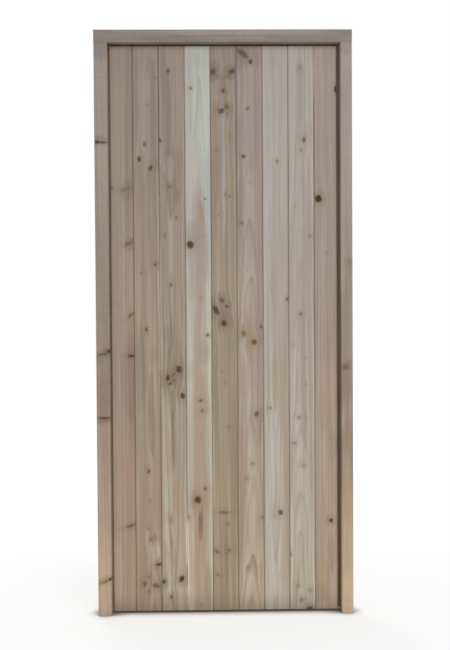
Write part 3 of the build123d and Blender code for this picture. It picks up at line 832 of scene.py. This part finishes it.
# A pale patch 4 mm wide on a board's edge, across 1 or 91, is painted light that lifts the shade in the V
# joint there
board_patches = {
    1: [
        (66, 1700, 20, 500, umber, 0.4), (60, 1495, 26, 45, umber, 0.5), (66, 1310, 20, 30, umber, 0.45),
        (70, 712, 18, 40, umber, 0.3), (70, 830, 15, 260, rust, 0.6), (60, 1000, 12, 60, straw, 0.4),
        (66, 420, 20, 200, rose, 0.4), (78, 190, 9, 110, straw, 0.55), (10, 1000, 8, 900, stone, 0.45),
        (30, 1700, 12, 300, stone, 0.3), (60, 840, 28, 180, umber, 0.3),
        (16, 130, 20, 140, "#bba591", 0.5),
    ],
    2: [
        (46, 1760, 17, 260, sap, 0.4), (14, 1800, 8, 200, umber, 0.5), (76, 1750, 8, 240, umber, 0.4),
        (34, 1420, 6, 110, straw, 0.6), (66, 1400, 7, 130, stone, 0.4), (56, 1040, 8, 300, cream, 0.3),
        (30, 900, 7, 200, umber, 0.3), (50, 700, 4, 90, umber, 0.5), (52, 560, 7, 200, cream, 0.3),
        (84, 1000, 9, 1000, rose, 0.45), (22, 870, 26, 160, umber, 0.3), (58, 185, 16, 60, cream, 0.5),
        (40, 260, 8, 60, cream, 0.4), (66, 217, 18, 44, cream, 0.6), (20, 1510, 16, 120, umber, 0.22),
        (68, 925, 20, 48, "#7d6046", 0.3), (66, 217, 22, 42, "#ccc0ab", 0.42),
        # Painted light in the V joint at this board's right edge
        (66, 1990, 24, 42, "#c5baa8", 0.35), (91, 1150, 4, 480, "#d9cab4", 0.6),
    ],
    3: [
        (62, 1795, 25, 205, "#aaa694", 0.7), (20, 1900, 12, 140, umber, 0.5),
        (35, 1745, 7, 240, "#7c685c", 0.7), (40, 1575, 21, 95, umber, 0.5),
        (40, 1572, 18, 54, "#b4ad99", 0.75), (74, 1565, 13, 110, umber, 0.32),
        (56, 1480, 18, 40, umber, 0.4), (68, 1350, 12, 250, rose, 0.4), (16, 1300, 9, 260, rose, 0.4),
        (41, 1285, 16, 175, "#b9ae9a", 0.42), (42, 1120, 12, 100, umber, 0.4),
        (42, 1095, 7, 90, cream, 0.5), (60, 950, 10, 160, straw, 0.3), (38, 970, 6, 130, umber, 0.4),
        (46, 960, 5, 120, cream, 0.5), (44, 830, 32, 60, umber, 0.45), (33, 930, 5, 40, "#7d705f", 0.6),
        (64, 1488, 12, 24, "#80745f", 0.45), (42, 780, 15, 50, cream, 0.45), (42, 775, 6, 30, umber, 0.5),
        (42, 615, 8, 122, "#857060", 0.85), (14, 560, 10, 320, cream, 0.6),
        (66, 640, 12, 170, stone, 0.5), (26, 420, 18, 90, milk, 0.3), (20, 1000, 14, 40, umber, 0.3),
        (20, 1690, 14, 80, umber, 0.25), (54, 400, 9, 90, straw, 0.5), (46, 1740, 44, 300, umber, 0.2),
        (44, 880, 46, 170, "#83705c", 0.4), (46, 210, 46, 170, cream, 0.35),
        (46, 60, 46, 60, "#bcab98", 0.45), (84, 360, 6, 180, cream, 0.6), (34, 280, 6, 80, rose, 0.6),
        (36, 120, 20, 60, milk, 0.4), (22, 288, 20, 46, "#cabfae", 0.36),
        # Painted light in the V joints at both of this board's edges
        (91, 240, 4, 330, "#efe2cd", 0.9), (1, 1150, 4, 480, "#d9cab4", 0.6),
    ],
    4: [
        (66, 1760, 34, 300, sap, 1.0), (72, 1850, 22, 270, "#c8cdc4", 0.6),
        (70, 925, 16, 30, umber, 0.25), (78, 1430, 13, 200, sap, 0.8), (16, 1500, 20, 260, milk, 0.6),
        (20, 1840, 10, 160, stone, 0.4), (46, 1370, 26, 170, "#a08775", 0.65),
        (46, 1265, 50, 150, "#9c8472", 0.5), (52, 1430, 9, 34, straw, 0.5),
        (46, 1000, 26, 330, rose, 0.4), (85, 1370, 7, 260, sap, 1.0), (85, 880, 7, 330, "#c6c0af", 1.0),
        (6, 1180, 6, 260, "#bcb9a9", 0.9), (6, 800, 6, 240, "#c1b9a6", 0.9),
        (38, 880, 9, 160, straw, 0.45), (60, 960, 6, 140, milk, 0.5), (44, 760, 24, 100, straw, 0.35),
        (74, 620, 8, 130, milk, 0.6), (60, 340, 10, 160, rose, 0.5), (80, 300, 6, 300, cream, 0.5),
        (14, 420, 9, 140, cream, 0.4), (70, 90, 16, 90, umber, 0.3), (8, 160, 12, 260, "#b0a18b", 0.6),
        (50, 100, 40, 130, "#ac9781", 0.35), (46, 560, 50, 320, "#a08b75", 0.45),
        (22, 1351, 22, 42, "#94765a", 0.3), (66, 1240, 24, 75, "#a08462", 0.24),
        (66, 925, 22, 52, "#96784f", 0.32), (20, 855, 18, 48, "#a08660", 0.26),
        (20, 1138, 20, 52, "#a3875f", 0.22), (22, 260, 24, 155, "#a98c63", 0.24),
        (66, 1670, 24, 85, "#d2d8d2", 0.42), (62, 1990, 28, 34, "#d0d6cf", 0.4),
        # Painted light in the V joints at both of this board's edges
        (1, 240, 4, 330, "#efe2cd", 0.9), (91, 500, 4, 260, "#dccfb8", 0.6),
        (47, 318, 7, 62, "#8a6753", 0.75),
    ],
    5: [
        (44, 1960, 10, 60, olive, 0.5), (12, 1908, 20, 38, "#6b5c4b", 0.55),
        (72, 1908, 24, 30, "#6b5c4b", 0.55), (44, 1888, 40, 14, umber, 0.45),
        (46, 1848, 18, 40, umber, 0.4), (46, 1782, 28, 38, umber, 0.5), (30, 1080, 32, 60, umber, 0.4),
        (44, 1030, 26, 34, umber, 0.4), (46, 1560, 8, 280, sap, 0.6), (20, 1560, 14, 300, umber, 0.25),
        (74, 1300, 10, 300, olive, 0.35), (26, 1250, 8, 260, milk, 0.25), (60, 960, 20, 70, olive, 0.5),
        (46, 700, 18, 300, olive, 0.4), (14, 780, 8, 200, umber, 0.3), (76, 560, 12, 300, umber, 0.25),
        (34, 470, 10, 120, straw, 0.35), (46, 190, 7, 130, umber, 0.4), (84, 520, 7, 160, rust, 0.4),
        # Painted light in the V joint at this board's left edge
        (70, 250, 16, 130, olive, 0.35), (1, 500, 4, 260, "#cdbfa4", 0.6),
    ],
    6: [
        (14, 1950, 16, 50, umber, 0.5), (76, 1800, 12, 200, rose, 0.35), (30, 1500, 10, 380, milk, 0.35),
        (76, 1400, 14, 420, rose, 0.5), (10, 1500, 8, 300, rust, 0.3), (40, 1140, 8, 120, milk, 0.4),
        (24, 985, 22, 34, straw, 0.7), (56, 955, 22, 38, straw, 0.7), (28, 880, 9, 130, milk, 0.45),
        (74, 930, 12, 260, rose, 0.6), (40, 700, 9, 200, milk, 0.5), (78, 660, 8, 90, rust, 0.5),
        (50, 400, 14, 300, cream, 0.55), (46, 1850, 50, 300, umber, 0.15),
        (46, 1975, 50, 50, umber, 0.35), (16, 1440, 20, 120, umber, 0.3), (46, 70, 46, 90, cream, 0.45),
        (70, 215, 18, 50, cream, 0.45), (10, 440, 8, 300, rust, 0.4), (30, 150, 16, 110, milk, 0.4),
        (22, 820, 22, 75, "#94705c", 0.27),
    ],
    7: [
        (34, 1910, 12, 70, straw, 0.35), (44, 1740, 16, 130, stone, 0.4), (70, 1600, 12, 300, milk, 0.35),
        (24, 1480, 12, 260, sap, 0.3), (34, 1150, 14, 46, straw, 0.65), (34, 1175, 8, 60, stone, 0.5),
        (64, 1050, 10, 200, milk, 0.3), (38, 825, 11, 130, straw, 0.75), (16, 900, 9, 240, rose, 0.35),
        (74, 700, 7, 300, straw, 0.55), (44, 620, 12, 120, sap, 0.5), (80, 350, 7, 330, straw, 0.5),
        (30, 520, 12, 160, milk, 0.4), (34, 200, 24, 170, milk, 0.5), (46, 1900, 50, 260, stone, 0.3),
        (68, 860, 30, 280, "#a3927c", 0.5), (40, 60, 44, 60, "#c4b9aa", 0.4),
        (50, 1200, 46, 300, "#a4968a", 0.3), (66, 820, 22, 155, "#a58864", 0.22),
    ],
    8: [
        (44, 1900, 10, 80, umber, 0.25), (30, 1700, 12, 200, stone, 0.3), (38, 1420, 14, 220, sap, 0.5),
        (70, 1350, 14, 300, rose, 0.35), (20, 1040, 10, 200, straw, 0.3), (30, 930, 8, 90, milk, 0.6),
        (72, 900, 12, 260, rose, 0.4), (30, 640, 9, 110, milk, 0.6), (78, 560, 8, 260, rust, 0.25),
        (32, 250, 10, 110, milk, 0.7), (60, 420, 12, 260, rose, 0.25), (64, 130, 20, 100, stone, 0.25),
        (46, 260, 50, 320, "#c2b5a3", 0.4), (46, 1180, 50, 340, "#9f8e7b", 0.4),
        # Painted light in the V joint at this board's right edge
        (70, 1700, 16, 50, umber, 0.25), (91, 1900, 4, 130, "#efe6da", 0.85),
    ],
    9: [
        (30, 1560, 22, 260, umber, 0.2), (40, 1080, 46, 200, umber, 0.25),
        (60, 1240, 8, 200, stone, 0.35), (16, 1060, 12, 180, stone, 0.35), (40, 880, 20, 110, rose, 0.45),
        (30, 720, 24, 100, rust, 0.25), (58, 600, 20, 60, umber, 0.25), (26, 300, 14, 160, rose, 0.45),
        (58, 225, 16, 60, rust, 0.3), (30, 110, 22, 90, straw, 0.5), (24, 60, 26, 40, umber, 0.22),
        # Painted light in the V joint at this board's left edge
        (1, 1900, 4, 130, "#efe0d4", 0.85),
    ],
}
board_knots = {
    1: [
        (5, 1505, 6, 9, 0, 0.75), (52, 1500, 26, 9, -14, 0.46), (64, 1310, 22, 8, -28, 0.65),
        (78, 1325, 7, 6, 0, 0.5), (8, 1095, 6, 7, 0, 0.25), (70, 1058, 20, 6, -36, 0.75),
        (69, 914, 12, 6, -6, 1.35), (64, 312, 24, 7, -20, 0.75),
    ],
    2: [
        (82, 1890, 9, 5, 0, 0.6), (52, 1795, 5, 5, 0, 0.6), (41, 1658, 7, 10, 10, 0.85),
        (23, 1606, 9, 12, 0, 1.0), (62, 1575, 9, 13, 30, 1.0), (76, 1235, 7, 7, 0, 0.8),
        (26, 1205, 8, 6, 0, 0.55), (42, 1007, 7, 12, 0, 0.85), (46, 505, 6, 12, 0, 0.85),
        (51, 400, 5, 10, 0, 0.4), (44, 300, 5, 8, 0, 0.55), (53, 262, 7, 9, 0, 0.55),
        (80, 172, 14, 7, -12, 0.9), (44, 128, 6, 10, 0, 0.65), (30, 104, 9, 13, 0, 0.75),
        (70, 97, 17, 11, 12, 0.75), (43, 78, 5, 7, 0, 0.7),
    ],
    3: [
        (35, 1913, 7, 11, 0, 0.85), (6, 1670, 6, 9, 0, 0.9), (37, 1508, 13, 9, 0, 0.55),
        (20, 1535, 6, 32, -16, 0.4), (50, 1530, 5, 24, 18, 0.35), (59, 1400, 6, 8, 0, 0.7),
        (18, 1337, 6, 7, 0, 0.65), (40, 1163, 6, 10, 0, 0.7), (65, 865, 14, 17, 0, 1.0),
        (26, 836, 9, 14, 10, 1.0), (46, 847, 15, 5, -42, 0.75), (46, 826, 12, 4, 12, 0.6),
        (36, 815, 9, 6, 0, 0.8), (78, 772, 10, 14, -18, 1.0), (34, 330, 5, 14, 0, 0.4),
        (32, 260, 5, 9, 0, 0.2), (8, 110, 7, 10, 0, 0.9), (70, 120, 10, 14, 24, 1.05),
        (32, 56, 6, 10, 0, 0.75),
    ],
    4: [
        (22, 1853, 7, 7, 0, 0.75), (72, 1465, 6, 7, 0, 0.7), (55, 1420, 6, 30, 0, 0.3),
        (17, 1305, 15, 17, 10, 1.15), (53, 1336, 10, 4, 0, 0.3), (54, 1117, 7, 8, 0, 0.4),
        (77, 985, 8, 7, 0, 0.85), (50, 754, 8, 8, 0, 0.75), (56, 718, 9, 10, 40, 0.6),
        (64, 440, 7, 8, 0, 0.75), (38, 402, 14, 17, 0, 1.0), (46, 325, 5, 42, 0, 0.4),
        (5, 340, 7, 8, 0, 0.5), (48, 26, 10, 10, 0, 0.35),
    ],
    5: [
        (10, 1911, 13, 17, 20, 0.9), (76, 1911, 17, 12, -30, 0.95), (22, 1897, 17, 6, 40, 0.5),
        (58, 1892, 21, 7, -40, 0.5), (46, 1843, 9, 11, 0, 0.85), (38, 1773, 16, 14, 0, 0.9),
        (57, 1787, 11, 11, 0, 0.75), (18, 1637, 8, 7, 0, 0.55), (71, 1685, 7, 8, 0, 0.5),
        (66, 1473, 6, 7, 0, 0.7), (51, 1482, 5, 9, 0, 0.55), (26, 1409, 7, 7, 0, 0.55),
        (36, 1108, 10, 12, -20, 0.8), (54, 1086, 8, 8, 0, 0.8), (15, 1074, 12, 23, -36, 1.0),
        (44, 1027, 14, 15, -12, 1.0), (39, 858, 5, 6, 0, 0.4), (49, 816, 6, 6, 0, 0.4),
        (59, 660, 6, 7, 0, 0.45), (40, 356, 24, 7, 0, 0.65), (53, 316, 6, 9, 0, 0.55),
        (14, 217, 12, 7, 30, 0.65), (57, 220, 10, 8, 0, 0.6), (17, 133, 10, 6, 36, 0.5),
    ],
    6: [
        (24, 1973, 33, 13, 41, 0.9), (51, 1944, 10, 10, 0, 0.95), (40, 1782, 7, 8, 0, 0.85),
        (25, 1614, 10, 8, 0, 0.9), (47, 1520, 5, 8, 0, 0.5), (17, 1380, 8, 6, 0, 0.75),
        (36, 1216, 5, 6, 0, 0.4), (54, 1183, 6, 6, 0, 0.4), (84, 1014, 8, 8, 0, 0.8),
        (23, 990, 11, 14, -36, 0.7), (59, 960, 12, 14, 40, 0.85), (67, 705, 10, 13, 0, 0.85),
        (52, 529, 9, 8, 0, 0.6), (29, 476, 8, 7, 0, 0.5), (86, 337, 9, 7, 0, 0.6),
        (34, 159, 7, 8, 0, 0.25),
    ],
    7: [
        (51, 1596, 7, 8, 0, 0.7), (86, 1111, 6, 9, 0, 0.85), (25, 726, 8, 7, 0, 0.6),
        (59, 353, 11, 12, 0, 0.85), (40, 340, 6, 6, 0, 0.4),
    ],
    8: [
        (41, 1922, 6, 12, 0, 0.5), (56, 1672, 9, 13, 0, 0.85), (46, 1636, 7, 7, 0, 0.65),
        (26, 1437, 4, 5, 0, 0.5), (75, 1332, 7, 7, 0, 0.65), (42, 1058, 9, 8, 0, 0.7),
        (18, 950, 7, 6, 0, 0.35), (60, 904, 6, 6, 0, 0.45), (61, 808, 7, 8, 0, 0.4),
        (34, 691, 10, 9, 0, 0.6), (16, 600, 9, 7, 0, 0.6), (49, 519, 9, 7, 0, 0.5),
        (5, 203, 5, 10, 0, 0.5), (29, 91, 9, 8, 0, 0.35), (71, 74, 8, 9, 0, 0.45),
        (41, 40, 9, 11, 0, 0.6), (69, 10, 12, 9, 0, 1.5),
    ],
    9: [
        (80, 1847, 8, 13, 0, 1.7), (15, 1464, 13, 15, 0, 1.7), (46, 1274, 9, 8, 0, 0.35),
        (56, 325, 9, 10, 0, 1.0), (55, 157, 6, 8, 0, 0.35),
    ],
}
board_count = len(board_logs)
for number in range(1, board_count + 1):
    node = f"board_{number}"
    low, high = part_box(node)
    grooved, tongued = number > 1, number < board_count
    width = (high.x - low.x) / MM - (tongue_length - shoulder_gap if tongued else 0)
    outline = board_outline(width, grooved, tongued)
    start = Vector((low.x, low.y, low.z))
    made = timber_mesh(
        f"larch_{node}",
        lambda along: outline,
        stations_between(0, (high.z - low.z) / MM, board_step),
        local_matrix(start, upright),
        planed_unevenness(width, number),
    )
    foot = low.z / MM
    knots = [(across, up - foot, *rest) for across, up, *rest in board_knots[number]]
    patches = [(across, up - foot, *rest) for across, up, *rest in board_patches[number]]
    planed_larch = larch(
        f"planed larch {number}", start, upright, board_logs[number], knots, patches,
        joints=width, foot_darkness=board_foot_darkness,
    )
    made.data.materials.append(planed_larch)
    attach(made, "door_leaf")
    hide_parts(node)


# Battens
# The leaf's back is planed larch that has seen no rain: two stiles, three rails between them,
# and a brace in each panel that rises from the hinge side. They are screwed to the boards.
batten_arris, batten_easing = 2.0, 0.3
batten_step = 12.0
batten_face_step = 8.0
brace_width = 95.0
batten_thick = (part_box("hinge_stile")[1].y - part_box("hinge_stile")[0].y) / MM
knock_depth, knock_length, knock_fade = 0.3, 50, 4
# The battens grey and darken less towards the top; part of that darkening is painted shade
batten_grey_and_shade = 0.25


def batten_outline(width):
    """A batten's section: square against the boards, with its long back edges rounded."""
    corners = [(0, 0), (width, 0), (width, batten_thick), (0, batten_thick)]
    radii = [batten_easing, batten_easing, batten_arris, batten_arris]
    return divided(rounded(corners, radii, steps=3), batten_face_step)


def batten_unevenness(width, seed):
    """Planed faces are nearly true, and only the back edges have been knocked a little."""

    def shift(across, through, along):
        edge = math.exp(-(min(across, width - across) + batten_thick - through) / knock_fade)
        knocked = knock_depth * edge * (1 + smooth_noise((across, through, along), knock_length, seed)) / 2
        return (knocked if across < width / 2 else -knocked), -knocked

    return shift


batten_logs = {
    "hinge_stile": dict(pith=(40, 70), lean=12, ring=3.0, tones=("#c0a88a", "#b09779", "#8d705a"), bands=0.3),
    "lock_stile": dict(pith=(70, 46), lean=-16, ring=3.4, tones=("#c3ad90", "#b39a7d", "#90735c"), bands=0.3),
    "bottom_rail": dict(
        pith=(60, 60), lean=-14, ring=3.6, tones=("#bba385", "#aa9174", "#896c56"), bands=0.3,
    ),
    "middle_rail": dict(pith=(50, 40), lean=16, ring=3.2, tones=("#c2aa8c", "#b1987a", "#8f725b"), bands=0.3),
    "top_rail": dict(pith=(76, 70), lean=10, ring=3.4, tones=("#bca487", "#ac9377", "#8b6f59"), bands=0.3),
    "lower_brace": dict(
        pith=(44, 50), lean=-12, ring=3.6, tones=("#c4ac8e", "#b2997c", "#8e715b"), bands=0.3,
    ),
    "upper_brace": dict(pith=(54, 60), lean=14, ring=3.2, tones=("#bda689", "#ad9477", "#8c7059"), bands=0.3),
}
batten_knots = {
    "hinge_stile": [
        (30, 320, 9, 10, 0, 0.7), (62, 760, 7, 8, 0, 0.6), (40, 1500, 10, 9, 0, 0.8),
        (20, 1230, 5, 6, 0, 0.4),
    ],
    "lock_stile": [
        (55, 210, 8, 8, 0, 0.7), (32, 900, 11, 9, 0, 0.8), (70, 1380, 6, 7, 0, 0.5),
        (48, 1800, 9, 10, 0, 0.7),
    ],
    "bottom_rail": [(40, 120, 8, 9, 0, 0.7), (88, 430, 10, 9, 0, 0.8)],
    "middle_rail": [(70, 210, 9, 10, 0, 0.75), (30, 520, 7, 8, 0, 0.6)],
    "top_rail": [(50, 330, 11, 10, 0, 0.8), (90, 560, 6, 7, 0, 0.5)],
    "lower_brace": [(46, 300, 10, 12, 0, 0.8), (24, 640, 6, 8, 0, 0.5)],
    "upper_brace": [(62, 460, 9, 10, 0, 0.75), (36, 820, 7, 8, 0, 0.6)],
}
# The strip of the hinge stile that the boards leave bare, deep in the running gap, stays unweathered,
# and is painted paler still: painted light that lifts the shade in the gap
gap_painted_light = [(12, 1000, 14, 1600, "#ffe4bf", 1.0)]
gap_painted_light_depth = 12.0
for node in ("hinge_stile", "lock_stile", "bottom_rail", "middle_rail", "top_rail"):
    low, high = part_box(node)
    standing = high.z - low.z > high.x - low.x
    width = (high.x - low.x if standing else high.z - low.z) / MM
    length = (high.z - low.z if standing else high.x - low.x) / MM
    turn = upright if standing else lying
    start = Vector((low.x, low.y, low.z if standing else high.z))
    outline = batten_outline(width)
    made = timber_mesh(
        f"larch_{node}",
        lambda along: outline,
        stations_between(0, length, batten_step),
        local_matrix(start, turn),
        batten_unevenness(width, seed=len(node)),
    )
    # Only the hinge stile gets the painted light in the gap
    gap_light = gap_painted_light if node == "hinge_stile" else ()
    planed_larch = larch(
        f"planed larch {node}", start, turn, batten_logs[node], batten_knots[node], gap_light, gap_painted_light_depth,
        weather=batten_grey_and_shade,
    )
    made.data.materials.append(planed_larch)
    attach(made, "door_leaf")
    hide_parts(node)


def cut_to_box(made, low, high):
    """Saw a brace's ends off along the stiles and rails that it fits between."""
    work = bmesh.new()
    work.from_mesh(made.data)
    for axis in (0, 2):
        for corner, outwards in ((low, -1), (high, 1)):
            normal = Vector((0, 0, 0))
            normal[axis] = outwards
            everything = work.verts[:] + work.edges[:] + work.faces[:]
            cut = bmesh.ops.bisect_plane(
                work, geom=everything, plane_co=corner, plane_no=normal, dist=same_point, clear_outer=True
            )
            rim = [e for e in cut["geom_cut"] if isinstance(e, bmesh.types.BMEdge)]
            bmesh.ops.contextual_create(work, geom=rim)
    bmesh.ops.recalc_face_normals(work, faces=work.faces)
    work.to_mesh(made.data)
    work.free()
    made.data.set_sharp_from_angle(angle=sharp_edge)


for node in ("lower_brace", "upper_brace"):
    low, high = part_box(node)
    middle = (low + high) / 2
    slope = math.atan2(high.z - low.z, high.x - low.x)
    turn = (0, math.radians(90) - slope, 0)
    uncut_length = math.hypot(high.x - low.x, high.z - low.z) / MM + 2 * brace_width
    along_it = Vector((math.cos(slope), 0, math.sin(slope)))
    across_it = Vector((math.sin(slope), 0, -math.cos(slope)))
    start = middle - along_it * uncut_length / 2 * MM - across_it * brace_width / 2 * MM
    start.y = low.y
    outline = batten_outline(brace_width)
    made = timber_mesh(
        f"larch_{node}",
        lambda along: outline,
        stations_between(0, uncut_length, batten_step),
        local_matrix(start, turn),
        batten_unevenness(brace_width, seed=len(node)),
    )
    cut_to_box(made, low, high)
    planed_larch = larch(
        f"planed larch {node}", start, turn, batten_logs[node], batten_knots[node], weather=batten_grey_and_shade
    )
    made.data.materials.append(planed_larch)
    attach(made, "door_leaf")
    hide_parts(node)


# Batten screws
# Zinc plated countersunk screws hold the battens to the boards: two through each rail into every
# board, one where a brace crosses a board, and a row up each stile. Their heads sit just proud.
skin_edge = 0.8
skin_relief = 0.1
cloud_size = 16.67


def metal_skin(name, tones, roughness, grain, worn_tone, metallic=0.0):
    """A thin even skin on metal: two close tones, two roughnesses, its grain in mm, and worn edges."""
    material = bpy.data.materials.new(name)
    tree = empty_tree(material)
    geometry = add(tree, "TexCoord").outputs
    cloud = {"Vector": geometry["Object"], "Scale": 1 / (cloud_size * MM), "Detail": 4.0}
    cloud = add(tree, "TexNoise", cloud)
    tone = {"Factor": cloud, "A": linear(tones[0]), "B": linear(tones[1])}
    tone = add(tree, "Mix", tone, data_type="RGBA")
    rough = {"Value": cloud, "From Min": 0.3, "From Max": 0.7, "To Min": roughness[0], "To Max": roughness[1]}
    rough = add(tree, "MapRange", rough)
    eased = add(tree, "Bevel", {"Radius": skin_edge * MM}, samples=4)
    edge = add(tree, "VectorMath", [eased, geometry["Normal"]], operation="DOT_PRODUCT").outputs["Value"]
    edge = add(tree, "MapRange", {"Value": edge, "From Min": 0.99, "From Max": 0.9})
    worn = add(tree, "MapRange", {"Value": cloud, "From Min": 0.42, "From Max": 0.62})
    worn = add(tree, "Math", [worn, edge], operation="MULTIPLY")
    tone = add(tree, "Mix", {"Factor": worn, "A": tone, "B": linear(worn_tone)}, data_type="RGBA")
    peel = add(tree, "TexNoise", {"Vector": geometry["Object"], "Scale": 1 / (grain * MM), "Detail": 2.0})
    bump = {"Strength": 0.3, "Distance": skin_relief * MM, "Height": peel, "Normal": eased}
    bump = add(tree, "Bump", bump)
    skin = {"Base Color": tone, "Metallic": metallic, "Roughness": rough, "Normal": bump}
    add(tree, "OutputMaterial", {"Surface": add(tree, "BsdfPrincipled", skin)})
    return material


dome_rings = (0.68, 0.86, 0.96)
dome_fall = 0.85
recess_reach, recess_half, recess_height = 0.55, 0.12, 0.3
head_skirt = 0.3
round_sides = 20
sharp_head_edge = math.radians(35)


def screw_heads(name, middles, facing, radius, rise, skins):
    """Join domed screw heads that face one way. Each has a cross recess, and no two turn alike.

    middles are in metres, radius and rise in mm, and skins are the metal and the recess's floor.
    """
    chance = random.Random(name)
    aim = Vector((0, 0, 1)).rotation_difference(Vector(facing)).to_matrix()
    arm, half_slot = recess_reach * radius, recess_half * radius
    quarter_turn = math.tau / 4
    angles = [k * math.tau / round_sides for k in range(round_sides)]
    circle = [Vector((math.cos(angle), math.sin(angle))) for angle in angles]
    points, faces, floors = [], [], set()

    def dome(spot, share=1.0):
        """Lift a point of the head's plan to its dome, or to a share of that height."""
        return Vector((spot.x, spot.y, share * rise * (1 - dome_fall * (spot.length / radius) ** 2)))

    for middle in middles:
        twist = chance.uniform(0, quarter_turn)
        first = len(points)
        cross = []
        for quarter in range(4):
            for corner in ((arm, -half_slot), (arm, half_slot), (half_slot, half_slot)):
                corner = Vector(corner)
                corner.rotate(Matrix.Rotation(quarter * quarter_turn + twist, 2))
                cross.append(corner)
        rings = [[dome(spot * radius * share) for spot in circle] for share in dome_rings]
        rings.append([Vector((spot.x, spot.y, 0)) * radius for spot in circle])
        rings.append([point - Vector((0, 0, head_skirt)) for point in rings[-1]])
        rim = [dome(corner) for corner in cross]
        sunk = [dome(corner, recess_height) for corner in cross]
        local = [point for ring in rings for point in ring] + rim + sunk
        points += [Vector(middle) + aim @ (point * MM) for point in local]
        rim_first = first + len(rings) * round_sides
        sunk_first = rim_first + len(cross)
        for k in range(len(rings) - 1):
            here = first + k * round_sides
            there = here + round_sides
            for i in range(round_sides):
                j = (i + 1) % round_sides
                faces.append((here + i, here + j, there + j, there + i))
        ring_and_rim = list(range(first, first + round_sides)) + list(range(rim_first, sunk_first))
        for corners in tessellate_polygon([rings[0], rim]):
            faces.append(tuple(ring_and_rim[i] for i in corners))
        for i in range(len(cross)):
            j = (i + 1) % len(cross)
            faces.append((rim_first + i, rim_first + j, sunk_first + j, sunk_first + i))
        for corners in tessellate_polygon([sunk]):
            floors.add(len(faces))
            faces.append(tuple(sunk_first + i for i in corners))
    mesh = bpy.data.meshes.new(name)
    mesh.from_pydata(points, [], faces)
    for skin in skins:
        mesh.materials.append(skin)
    for face in mesh.polygons:
        face.material_index = 1 if face.index in floors else 0
    work = bmesh.new()
    work.from_mesh(mesh)
    bmesh.ops.recalc_face_normals(work, faces=work.faces)
    work.to_mesh(mesh)
    work.free()
    mesh.shade_smooth()
    mesh.set_sharp_from_angle(angle=sharp_head_edge)
    made = bpy.data.objects.new(name, mesh)
    bpy.context.collection.objects.link(made)
    return made


# Bright zinc plate: cool pale metal, dulled unevenly. The floor of its cross recess is painted near black:
# painted shade that the shallow recess cannot cast. The zinc's crystals are too fine to show and are drawn
# 0.8 mm wide, and the recess floor's grain 0.5 mm wide.
zinc = metal_skin(
    "bright zinc plate", ("#a9abad", "#c2c3c2"), roughness=(0.32, 0.5), grain=0.8, worn_tone="#d4d4d2",
    metallic=1.0,
)
recess_painted_shade = metal_skin(
    "painted shade in screw recess", ("#35302b", "#4a433b"), roughness=(0.8, 0.95), grain=0.5, worn_tone="#4a433b"
)

from_rail_middle = 35.0
stile_pitch = 280.0
stile_stagger = 22.0
clear_of_rail_end = 10.0
countersunk_radius = 4.0
countersunk_rise = 0.5
backwards = (0, 1, 0)
battens_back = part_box("hinge_stile")[1].y
board_middles = []
for number in range(2, board_count):
    low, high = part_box(f"board_{number}")
    board_middles.append((low.x + high.x - (tongue_length - shoulder_gap) * MM) / 2)
screw_middles = []
for node in ("bottom_rail", "middle_rail", "top_rail"):
    low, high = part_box(node)
    for x in board_middles:
        if low.x + clear_of_rail_end * MM < x < high.x - clear_of_rail_end * MM:
            for side in (-1, 1):
                screw_middles.append((x, battens_back, (low.z + high.z) / 2 + side * from_rail_middle * MM))
for node in ("lower_brace", "upper_brace"):
    low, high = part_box(node)
    slope = (high.z - low.z) / (high.x - low.x)
    for x in board_middles[1:-1]:
        screw_middles.append((x, battens_back, low.z + (x - low.x) * slope))
for node in ("hinge_stile", "lock_stile"):
    low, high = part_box(node)
    rows = round((high.z - low.z) / MM / stile_pitch)
    for k in range(rows):
        side = 1 if k % 2 else -1
        z = low.z + (high.z - low.z) * (k + 0.5) / rows
        screw_middles.append(((low.x + high.x) / 2 + side * stile_stagger * MM, battens_back, z))
# The recess floors take the painted shade
made = screw_heads(
    "batten_screws", screw_middles, backwards, countersunk_radius, countersunk_rise, (zinc, recess_painted_shade)
)
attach(made, "door_leaf")


# Tee hinges
# Three tee hinges of pressed mild steel, stoved black. The short plate is screwed to the back
# of the jamb, the long strap to the rail, and a riveted pin joins their knuckles.

# Stoved black enamel: a satin skin, near black, with a faint orange peel about a millimetre across,
# and rubbed to grey along its edges
enamel = metal_skin(
    "stoved black enamel", ("#19191b", "#29282a"), roughness=(0.34, 0.56), grain=1.1, worn_tone="#5d5a57"
)
for node, cad_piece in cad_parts.items():
    if "_hinge_" in node:
        cad_piece.data.materials.clear()
        cad_piece.data.materials.append(enamel)

# Pan head screws: two beside the strap's root and four along it, and five in the plate
steel_thickness = 3.0
pan_radius = 4.4
pan_rise = 2.0
strap_screws = ((34.0, 10.5), (34.0, -10.5), (95.0, 0), (160.0, 0), (225.0, 0), (287.0, 0))
plate_screws = ((9.0, 44.0), (15.0, 27.0), (9.0, 0.0), (15.0, -27.0), (9.0, -44.0))
steel_face = battens_back + steel_thickness * MM
for place in ("bottom", "middle", "top"):
    low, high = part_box(f"{place}_hinge_pin")
    pin = (low + high) / 2
    plate_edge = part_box(f"{place}_hinge_plate")[0].x
    for piece, body, from_x, offsets in (
        ("strap", "door_leaf", pin.x, strap_screws),
        ("plate", "frame", plate_edge, plate_screws),
    ):
        middles = [(from_x + x * MM, steel_face, pin.z + z * MM) for x, z in offsets]
        made = screw_heads(
            f"{place}_{piece}_screws", middles, backwards, pan_radius, pan_rise, (enamel, enamel)
        )
        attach(made, body)
